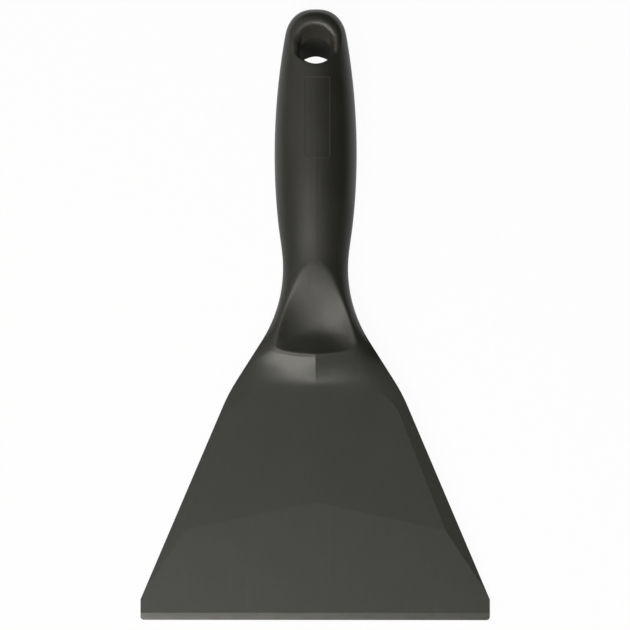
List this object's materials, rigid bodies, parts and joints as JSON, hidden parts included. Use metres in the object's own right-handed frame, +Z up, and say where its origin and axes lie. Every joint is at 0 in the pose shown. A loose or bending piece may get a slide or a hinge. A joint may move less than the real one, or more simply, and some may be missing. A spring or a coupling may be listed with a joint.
{
  "type": "hand scraper",
  "caption": "Hand scraper for pans: a thin tapered trapezoid blade, dished thumb rests at its shoulder, and an oval grip moulded over its tang with a slanted hang hole.",
  "frame": {"origin": "bottom centre of the whole tool as it lies on its back, on the grip's belly and the scraping edge", "axes": "+Y runs along the tool towards the end of the grip, +X across the blade, +Z up, out of the front face; the blade's middle plane is tilted 3.8 degrees about X, edge down, because the tool rests that way"},
  "size_m": [0.127, 0.2216, 0.0244],
  "materials": {
    "grip_plastic": "satin moulded, near black with a warm tint",
    "blade_plastic": "fine matte moulded, near black"
  },
  "bodies": {
    "root": {"handle": "grip_plastic", "blade": "blade_plastic"}
  },
  "joints": []
}
